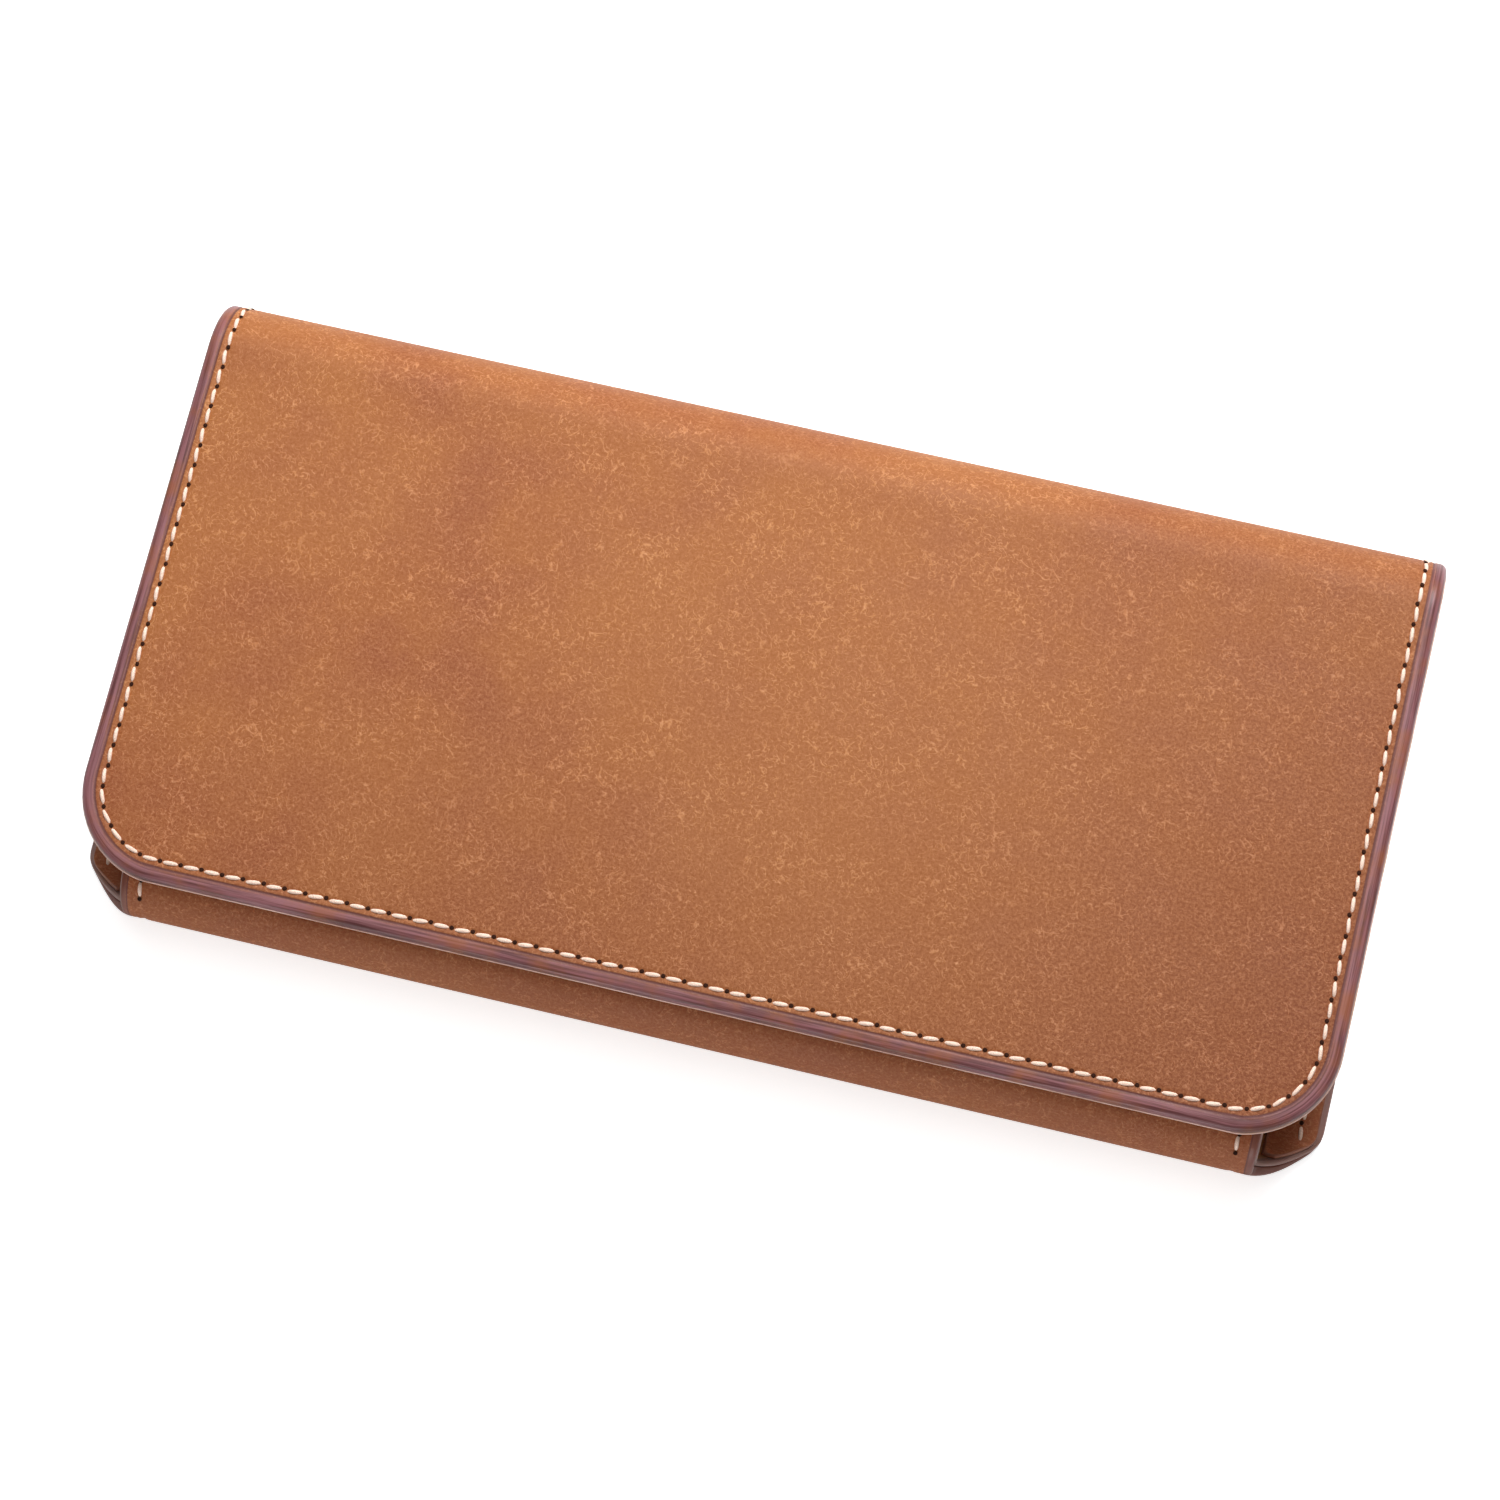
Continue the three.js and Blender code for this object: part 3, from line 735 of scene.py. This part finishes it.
def stitchTree():
    # a bowed strand and, beside it, a dark pit of painted shade for the hole, on every point
    tree, given, out = newGroup("stitchRun", "GeometryNodeTree", {"Geometry": "Geometry", **stitch},
                                {"Geometry": "Geometry"})
    half = times(tree, given["Length"], 0.5)
    sunk = times(tree, given["Rise"], -0.9)
    line = first(tree, "GeometryNodeCurveQuadraticBezier", {
        "Resolution": 6, "Start": combine(tree, times(tree, half, -1.0), 0.0, sunk),
        "Middle": combine(tree, z=times(tree, given["Rise"], 1.5)), "End": combine(tree, half, 0.0, sunk)})
    ring = first(tree, "GeometryNodeCurvePrimitiveCircle", {"Resolution": 7, "Radius": given["Thread"]})
    away = calc(tree, "ABSOLUTE", calc(tree, "SUBTRACT", first(tree, "GeometryNodeSplineParameter"), 0.5))
    taper = calc(tree, "SUBTRACT", 1.0, times(tree, calc(tree, "POWER", away, 2.5), 1.5))
    strand = first(tree, "GeometryNodeCurveToMesh", {
        "Curve": line, "Profile Curve": ring, "Scale": taper, "Fill Caps": True})
    # the pit is a dark disc of painted shade in the stitch hole
    pit = first(tree, "GeometryNodeMeshUVSphere", {"Segments": 10, "Rings": 5, "Radius": given["Hole"]})
    beside = combine(tree, times(tree, given["Pitch"], 0.5), 0.0, 0.03 * mm)
    pit = first(tree, "GeometryNodeTransform", {
        "Geometry": pit, "Translation": beside, "Scale": (1.0, 0.9, 0.25)})
    both = tree.nodes.new("GeometryNodeJoinGeometry")
    tree.links.new(coated(tree, strand, "thread"), both.inputs[0])
    tree.links.new(coated(tree, pit, "hole"), both.inputs[0])
    low = calc(tree, "SUBTRACT", given["Lean"], given["Unevenness"])
    high = calc(tree, "ADD", given["Lean"], given["Unevenness"])
    lean = wire(tree, "FunctionNodeRandomValue", {2: low, 3: high, "Seed": given["Seed"]}, data_type="FLOAT")
    turned = first(tree, "FunctionNodeRotateRotation", {
        "Rotation": facing(tree), "Rotate By": combine(tree, z=lean.outputs[1])}, rotation_space="LOCAL")
    real = setOnPoints(tree, given["Geometry"], both.outputs[0], turned)
    tree.links.new(first(tree, "GeometryNodeSetShadeSmooth", {"Geometry": real}), out[0])
    return tree


stitchRun = stitchTree()


def grownPiece(name, tree, points, settings):
    # a plain mesh from a tree run on points, each (place, direction, normal)
    data = bpy.data.meshes.new(name + "Points")
    data.from_pydata([p for p, _, _ in points], [], [])
    for label, index in (("along", 1), ("up", 2)):
        layer = data.attributes.new(label, "FLOAT_VECTOR", "POINT")
        for i, point in enumerate(points):
            layer.data[i].vector = point[index]
    source = newObject(name + "Points", data)
    modifier = source.modifiers.new("grow", "NODES")
    modifier.node_group = tree
    for item in tree.interface.items_tree:
        if item.item_type == "SOCKET" and item.in_out == "INPUT" and item.name in settings:
            modifier[item.identifier] = settings[item.name]
    evaluated = source.evaluated_get(bpy.context.evaluated_depsgraph_get())
    mesh = bpy.data.meshes.new_from_object(evaluated)
    mesh.name = name
    source.modifiers.remove(modifier)
    bpy.data.objects.remove(source)
    return newObject(name, mesh)


def stitchPiece(name, points, seed, **sizes):
    piece = grownPiece(name, stitchRun, points, {"Seed": seed, **sizes})
    return piece


def wrappedStitch(x, s, dx, ds, depth, side):
    # side 1 stitches the grain side, -1 the flesh side
    here = wrapped(x, s, depth)
    there = wrapped(x + dx * 0.1, s + ds * 0.1, depth)
    _, _, ny, nz = onPath(s)
    return here, (there - here).normalized(), Vector((0, ny, nz)) * side


def flapSeam():
    # from one ear up the back, over the top, round the flap and back down to the other ear
    inset = wallet["seamInset"]
    x = wallet["halfWidth"] - inset
    r = wallet["flapCorner"] - inset
    end = pathEnd - inset
    right = [(x, backStart - 1), (x, end - r)] + arcPoints(x - r, end - r, r, 0, math.pi / 2, 24)
    return [(-a, b) for a, b in right] + [(a, b) for a, b in reversed(right)]


seamSteps = alongPath(flapSeam(), wallet["pitch"])
mouthStart = topStart - wallet["topY"] + wallet["frontTop"]  # on the back, level with the front's top edge
grooveFloor = seamGroove[1] * 0.6
restingSink = 0.26  # the back lies on its seam, so the thread is pressed in there
for name, s0, s1, bodies, (start, end), _ in stretches[1:]:
    inside = [step for step in seamSteps if step[1] < s1 and (step[1] >= s0 or name == "back")]
    points = [wrappedStitch(*step, grooveFloor + (restingSink if step[1] < topStart else 0.0), 1)
              for step in inside]
    points += [wrappedStitch(*step, liningTop, -1) for step in inside if step[1] > mouthStart]
    seam = stitchPiece(f"flapSeam_{name}", points, 3)
    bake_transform(seam)
    if name == "flap":
        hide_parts("thread_flap")
print("flap seam sewn")


def straightRun(start, end, up, spacing=wallet["pitch"]):
    # stitches along a straight line
    start, end = Vector(start) * mm, Vector(end) * mm
    count = max(1, round((end - start).length / mm / spacing))
    step = (end - start) / count
    return [(start + step * (i + 0.5), step.normalized(), Vector(up)) for i in range(count)]


def frontSeams():
    x = wallet["halfFront"] - wallet["seamInset"]
    for side, sign in bothSides:
        steps = alongPath([(sign * x, 2.0), (sign * x, baseStart + 7.6)], wallet["pitch"])
        points = [wrappedStitch(*step, grooveFloor, 1) for step in steps]
        points += [wrappedStitch(*step, liningTop, -1) for step in steps if step[1] < baseStart]
        seam = stitchPiece(f"frontSeam_{side}", points, 5)
        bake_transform(seam)
        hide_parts(f"thread_front_{side}")


frontSeams()

gusset = {
    "leather": 0.8,
    "flangeInset": 0.7,
    "flangeEnd": 0.5,
    "flangeDepth": 3.0,
    "stepFrom": 1.6,
    "stepHalf": 0.6,
    "stepTo": 1.8,
    "ease": 0.35,
    "legDepth": 4.8,
    "frontDepth": 14.15,
    "frontFrom": 2.5,
    "frontTo": 0.35,
    "tipX": 82.0,
    "low": backStart - 8.0,
    "pleatLow": backStart + 2.5,
    "taper": 4.0,
    "seamLow": backStart - 1.4,
}


def gussetPath():
    # from the flange on the back, in round the pleat and out behind the front's side edge
    front = wallet["halfFront"]
    flange, leg, near, ease = (gusset[k] for k in ("flangeDepth", "legDepth", "frontDepth", "ease"))
    half = gusset["stepHalf"]
    path = [(wallet["halfWidth"] - gusset["flangeEnd"], flange), (front + gusset["stepFrom"], flange),
            (front + half, flange + ease), (front - half, leg - ease), (front - gusset["stepTo"], leg)]
    middle, r = (leg + near) / 2, (near - leg) / 2
    for i in range(17):
        a = -math.pi / 2 + math.pi * i / 16
        path.append((gusset["tipX"] - r * math.cos(a), middle + r * math.sin(a)))
    return path + [(front - gusset["frontFrom"], near), (front - gusset["frontTo"], near)]


def makeGusset(side, sign):
    path = gussetPath()
    flangeEdge = outerOutline(gusset["flangeInset"])
    total = sum(math.dist(a, b) for a, b in zip(path, path[1:]))
    inner = path[0][0] - wallet["halfFront"] - 0.7

    def ends(s):
        # only the flange low down; the pleat grows to its full breadth over the taper
        t0 = path[0][0] - min(path[0][0], halfAt(flangeEdge, s))
        grow = max(0.0, min(1.0, (s - gusset["pleatLow"]) / gusset["taper"]))
        grow = grow * grow * (3 - 2 * grow)
        return t0, max(t0 + 0.3, inner + (total - inner) * grow)

    top, low = mouthStart - 1, gusset["low"]
    rows = [low, low + 0.1, low + 0.3] + [low + 0.3 + 0.5 * i for i in range(1, 30)]
    rows += evenRows(rows[-1] + 0.5, top, 3.0)[4:]
    piece = makeStrip(f"gussetLeather_{side}", path, gusset["leather"], rows,
                      lambda a, b, s: wrapped(sign * a, s, b), ends, 70)
    dress(piece, "gusset")
    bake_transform(piece)
    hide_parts(f"gusset_{side}")
    x = sign * (wallet["halfWidth"] - wallet["seamInset"])
    depth = gusset["flangeDepth"] + gusset["leather"] / 2
    steps = alongPath([(x, gusset["seamLow"]), (x, top - 1)], wallet["pitch"])
    seam = stitchPiece(f"gussetSeam_{side}", [wrappedStitch(*step, depth, -1) for step in steps], 7)
    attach(seam, "back")
    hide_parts(f"thread_gusset_{side}")


for side, sign in bothSides:
    makeGusset(side, sign)
print("gussets made")

cards = {
    "inner": 0.4,
    "outer": 88.0,
    "low": -39.4,
    "tops": (30.0, 18.0, 6.0),
    "leather": 0.5,
    "corner": 0.6,
    "gap": 0.1,
    "step": 0.6,
    "crease": 2.0,
    "creaseDeep": 0.12,
    "creaseWide": 0.35,
    "innerSeam": 1.8,
    "outerSeam": 5.5,
    "pitch": 3.0,
    "stitch": {"Length": 1.9 * mm, "Thread": 0.22 * mm, "Pitch": 3 * mm, "Hole": 0.28 * mm, "Rise": 0.12 * mm},
}


def flatPlace(level):
    # lays a sheet flat with its grain side at the level, s running up the wallet
    return lambda x, s, depth: Vector((x, s, level - depth)) * mm


def pressedLine(at):
    return lambda s: -cards["creaseDeep"] * math.exp(-((s - at) / cards["creaseWide"]) ** 2)


def makeCards():
    half = (cards["outer"] - cards["inner"]) / 2
    low, tops = cards["low"], cards["tops"]
    levels = [liningTop + cards["gap"] + row * cards["step"] + cards["leather"] for row in range(3)]
    seamLows = (tops[1] + 1, tops[2] + 1, low + 2)
    for side, sign in bothSides:
        seamColumns = [sign * x for x in (cards["inner"] + cards["innerSeam"], cards["outer"] - cards["outerSeam"])]
        for row, top in enumerate(tops):
            edge = top - cards["crease"]
            outline = boxOutline(half, low, top, cards["corner"], cards["corner"])
            piece = makeSheet(f"cardPocket_{side}_{row + 1}", outline, low, top, flatPlace(levels[row]),
                              (0.0, cards["leather"]), (0.22, 0.15), centre=sign * (cards["inner"] + half),
                              swell=pressedLine(edge), bends=((edge - 1, edge + 1, 0.2),))
            dress(piece, "lining")
            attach(piece, "back")
            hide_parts(f"card_pocket_{side}_{row + 1}")
        points = []
        for row in (2, 0, 1):
            for x in seamColumns:
                points += straightRun((x, seamLows[row], levels[row]), (x, tops[row] - 1, levels[row]),
                                      (0, 0, 1), cards["pitch"])
        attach(stitchPiece(f"cardSeam_{side}", points, 11, **cards["stitch"]), "back")


makeCards()
print("card pockets made")

coin = {
    "half": 76.5,
    "low": -39.0,
    "top": 28.0,
    "leather": 0.7,
    "backLevel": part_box("coin_wall_back")[1].z / mm,
    "frontLevel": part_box("coin_wall_front")[1].z / mm,
    "lowCorner": 5.0,
    "topCorner": 1.0,
    "gap": 0.1,
    "stripInset": 0.05,
    "stripCorner": 4.6,
    "stripDrop": 1.5,
    "sideSeam": 1.6,
    "lowSeam": 1.8,
    "topSeam": 1.7,
    "seamDrop": 10.0,
    "pitch": 3.0,
    "stitch": {"Length": 1.9 * mm, "Thread": 0.2 * mm, "Pitch": 3 * mm, "Hole": 0.26 * mm, "Rise": 0.1 * mm},
}
coin["middle"] = (coin["backLevel"] + coin["frontLevel"] - coin["leather"]) / 2
coin["insideBack"] = coin["backLevel"] + coin["gap"]
coin["insideFront"] = coin["frontLevel"] - coin["leather"] - coin["gap"]


def makeCoinPocket():
    for side, level in (("back", coin["backLevel"]), ("front", coin["frontLevel"])):
        outline = boxOutline(coin["half"], coin["low"], coin["top"], coin["lowCorner"], coin["topCorner"])
        piece = makeSheet(f"coinWall_{side}", outline, coin["low"], coin["top"], flatPlace(level),
                          (0.0, coin["leather"]), (0.25, 0.25))
        dress(piece, "lining")
        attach(piece, "coin_pocket")
        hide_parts(f"coin_wall_{side}")
    inset = coin["leather"] / 2 + coin["stripInset"]
    half, low, end = coin["half"] - inset, coin["low"] + inset, coin["top"] - coin["stripDrop"]
    r = coin["stripCorner"]
    path = [(-half, end)] + arcPoints(-half + r, low + r, r, math.pi, 1.5 * math.pi, 8)
    path += arcPoints(half - r, low + r, r, 1.5 * math.pi, 2 * math.pi, 8) + [(half, end)]
    rows = evenRows(coin["insideBack"], coin["insideFront"], 0.5)
    strip = makeStrip("coinSideStrip", path, coin["leather"], rows, lambda a, b, z: Vector((a, b, z)) * mm,
                      columns=160)
    dress(strip, "lining")
    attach(strip, "coin_pocket")
    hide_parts("coin_side_strip")
    edge, low = coin["half"] - coin["sideSeam"], coin["low"] + coin["lowSeam"]
    high, mouth = coin["top"] - coin["seamDrop"], coin["top"] - coin["topSeam"]
    points = []
    for level, up in ((coin["frontLevel"], 1), (coin["backLevel"] - coin["leather"], -1)):
        for a, b in (((-edge, low + 3), (-edge, high)), ((edge, low + 3), (edge, high)),
                     ((-edge + 3, low), (edge - 3, low)), ((-edge, mouth), (edge, mouth))):
            points += straightRun((*a, level), (*b, level), (0, 0, up), coin["pitch"])
    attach(stitchPiece("coinSeam", points, 13, **coin["stitch"]), "coin_pocket")


makeCoinPocket()

zipper = {
    "row": 66.0,
    "pitch": 2.0,
    "startGap": 0.8,
    "endGap": 0.6,
    "toothY": coin["top"] - 0.2,
    "toothDepth": 1.4,
    "toothLift": 0.45,
    "tapeLow": coin["top"] - 9,
    "tapeLip": coin["top"] + 0.45,
    "tapeEnd": coin["half"] - 1.2,
    "tapeReach": 1.45,
    "tape": 0.45,
    "cord": 1.02,
    "cordRadius": 0.34,
    "cordSides": 12,
    "tooth": {"Width": 0.76 * mm, "Depth": 1.3 * mm, "Reach": 0.55 * mm, "Grip": 0.75 * mm},
}


def toothTree():
    # one tooth: a block gripping the cord with a narrower nose and a nib
    tree, given, out = newGroup("zipTooth", "GeometryNodeTree", {"Geometry": "Geometry", **zipper["tooth"]},
                                {"Geometry": "Geometry"})
    total = tree.nodes.new("GeometryNodeJoinGeometry")
    blocks = (("Grip", 1.0, 1.0, 0.5, 0.62), ("Reach", 0.86, 0.8, -0.5, 1.1), ("Reach", 0.45, 1.0, -0.8, 0.5))
    for key, wide, deep, shift, tall in blocks:
        size = combine(tree, times(tree, given["Width"], wide), times(tree, given["Depth"], deep),
                       times(tree, given[key], tall))
        block = first(tree, "GeometryNodeMeshCube", {"Size": size})
        place = combine(tree, z=times(tree, given[key], shift))
        moved = first(tree, "GeometryNodeTransform", {"Geometry": block, "Translation": place})
        tree.links.new(moved, total.inputs[0])
    real = setOnPoints(tree, given["Geometry"], total.outputs[0], facing(tree))
    tree.links.new(coated(tree, real, "brass"), out[0])
    return tree


def makeZip():
    tooth = toothTree()
    y = zipper["toothY"] + zipper["toothDepth"] / 2
    for i, (side, sign) in enumerate((("back", -1), ("front", 1))):
        points = []
        x = -zipper["row"] + zipper["startGap"] + i * zipper["pitch"] / 2
        while x < zipper["row"] - zipper["endGap"]:
            place = Vector((x, y, coin["middle"] + sign * zipper["toothLift"])) * mm
            points.append((place, Vector((1, 0, 0)), Vector((0, 0, sign))))
            x += zipper["pitch"]
        row = grownPiece(f"zipTeeth_{side}", tooth, points, {})
        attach(row, "coin_pocket")
        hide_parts(f"zip_teeth_{side}")
        inner = coin["insideBack"] if sign < 0 else coin["insideFront"]
        wall = inner - sign * zipper["tape"] / 2
        lip, end = zipper["tapeLip"], zipper["tapeEnd"]
        path = [(zipper["tapeLow"], wall), (lip - 0.9, wall), (lip - 0.5, wall - sign * 0.06),
                (lip - 0.1, wall - sign * 0.35), (lip, wall - sign * 0.75),
                (lip, coin["middle"] + sign * zipper["tapeReach"])]
        tape = makeStrip(f"zipTape_{side}", path, zipper["tape"], evenRows(-end, end, 4.0),
                         lambda a, b, r: Vector((r, a, b)) * mm, columns=24, rim=0.1)
        dress(tape, "tape")
        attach(tape, "coin_pocket")
        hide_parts(f"zip_tape_{side}")
        cord = makeCord(f"zipCord_{side}", y, coin["middle"] + sign * zipper["cord"])
        dress(cord, "tape")
        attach(cord, "coin_pocket")


def makeCord(name, y, z):
    # the beaded edge that the teeth grip, narrower at its ends
    half, r, sides = zipper["row"], zipper["cordRadius"], zipper["cordSides"]
    angles = [2 * math.pi * i / sides for i in range(sides)]
    mesh = bmesh.new()
    rings = []
    for x, size in ((-half, r * 0.75), (-half + 0.1, r), (half - 0.1, r), (half, r * 0.75)):
        rings.append([mesh.verts.new(Vector((x, y + size * math.cos(a), z + size * math.sin(a))) * mm)
                      for a in angles])
    for a, b in zip(rings, rings[1:]):
        for i in range(sides):
            j = (i + 1) % sides
            mesh.faces.new((a[i], a[j], b[j], b[i]))
    mesh.faces.new(rings[0])
    mesh.faces.new(rings[-1])
    bmesh.ops.recalc_face_normals(mesh, faces=mesh.faces)
    return meshObject(name, mesh)


def refined(node, name, bevel, segments=3):
    # a clean copy of a hard CAD piece with its edges rounded over
    mesh = bmesh.new()
    mesh.from_mesh(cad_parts[node].data)
    bmesh.ops.remove_doubles(mesh, verts=mesh.verts, dist=2e-6)
    bmesh.ops.dissolve_limit(mesh, angle_limit=math.radians(1), verts=mesh.verts, edges=mesh.edges)
    bmesh.ops.recalc_face_normals(mesh, faces=mesh.faces)
    piece = meshObject(name, mesh)
    rounder = piece.modifiers.new("roundEdges", "BEVEL")
    rounder.width = bevel * mm
    rounder.segments = segments
    rounder.limit_method = "ANGLE"
    rounder.angle_limit = math.radians(35)
    rounder.harden_normals = False
    evaluated = piece.evaluated_get(bpy.context.evaluated_depsgraph_get())
    finished = bpy.data.meshes.new_from_object(evaluated)
    piece.modifiers.clear()
    piece.data = finished
    return dress(piece, "brass")


makeZip()
# CAD node, piece, bevel in millimetres, body
hardware = (("zip_slider", "zipSlider", 0.16, "slider"), ("zip_pull", "zipPull", 0.2, "pull"),
            ("zip_stop_left", "zipStop_left", 0.3, "coin_pocket"),
            ("zip_stop_right", "zipStop_right", 0.3, "coin_pocket"))
for node, name, bevel, body in hardware:
    hard = refined(node, name, bevel)
    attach(hard, body)
    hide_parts(node)
print("zip made")

shot = {
    "place": (80.95, -157.41, 670.95),
    "right": (0.96900, 0.23887, -0.06304),
    "down": (0.21668, -0.94435, -0.24751),
    "lens": 105.21,
    "sensor": 36.0,
}


def makeCamera():
    right = Vector(shot["right"]).normalized()
    down = Vector(shot["down"])
    down = (down - right * down.dot(right)).normalized()
    forward = right.cross(down)
    data = bpy.data.cameras.new("camera")
    data.lens = shot["lens"]
    data.sensor_width = shot["sensor"]
    data.clip_start = 0.01
    camera = newObject("camera", data)
    camera.matrix_world = Matrix((
        (right.x, -down.x, -forward.x, shot["place"][0] * mm),
        (right.y, -down.y, -forward.y, shot["place"][1] * mm),
        (right.z, -down.z, -forward.z, shot["place"][2] * mm),
        (0, 0, 0, 1)))
    bpy.context.scene.camera = camera


makeCamera()


def makeFloor():
    data = bpy.data.meshes.new("floor")
    r = 3.0
    data.from_pydata([(-r, -r, 0), (r, -r, 0), (r, r, 0), (-r, r, 0)], [], [(0, 1, 2, 3)])
    data.transform(Matrix.Translation((0, 0, -0.0002)))
    floor = newObject("floor", data)
    material, tree, shader = newMaterial("paleFloor", Roughness=0.9, **{"Specular IOR Level": 0.1})
    shader.inputs["Base Color"].default_value = (0.85, 0.85, 0.85, 1)
    seen = tree.nodes.new("ShaderNodeLightPath").outputs["Is Camera Ray"]
    shader.inputs["Emission Color"].default_value = (1, 1, 1, 1)
    tree.links.new(times(tree, seen, 0.72), shader.inputs["Emission Strength"])
    data.materials.append(material)


def areaLight(name, place, size, power):
    data = bpy.data.lights.new(name, "AREA")
    data.shape = "ELLIPSE"
    data.size, data.size_y = size
    data.energy = power
    light = newObject(name, data)
    light.location = place
    light.rotation_euler = (-Vector(place)).to_track_quat("-Z", "Y").to_euler()
    light.visible_camera = False


makeFloor()
areaLight("keyLight", (0.06, 0.5, 0.6), (0.5, 0.5), 8.3)
areaLight("fillLight", (-0.1, 0.3, 1.3), (1.2, 1.2), 4.5)
areaLight("frontLight", (0.0, -0.7, 0.055), (0.7, 0.1), 1.9)
world = bpy.data.worlds.new("studio")
world.use_nodes = True
backdrop = world.node_tree.nodes["Background"]
backdrop.inputs["Color"].default_value = (1, 1, 1, 1)
seen = world.node_tree.nodes.new("ShaderNodeLightPath").outputs["Is Camera Ray"]
world.node_tree.links.new(ramp(world.node_tree, seen, 0.0, 1.0, 0.2, 1.0), backdrop.inputs["Strength"])
bpy.context.scene.world = world
bpy.context.scene.view_settings.view_transform = "Standard"

print("scene done")
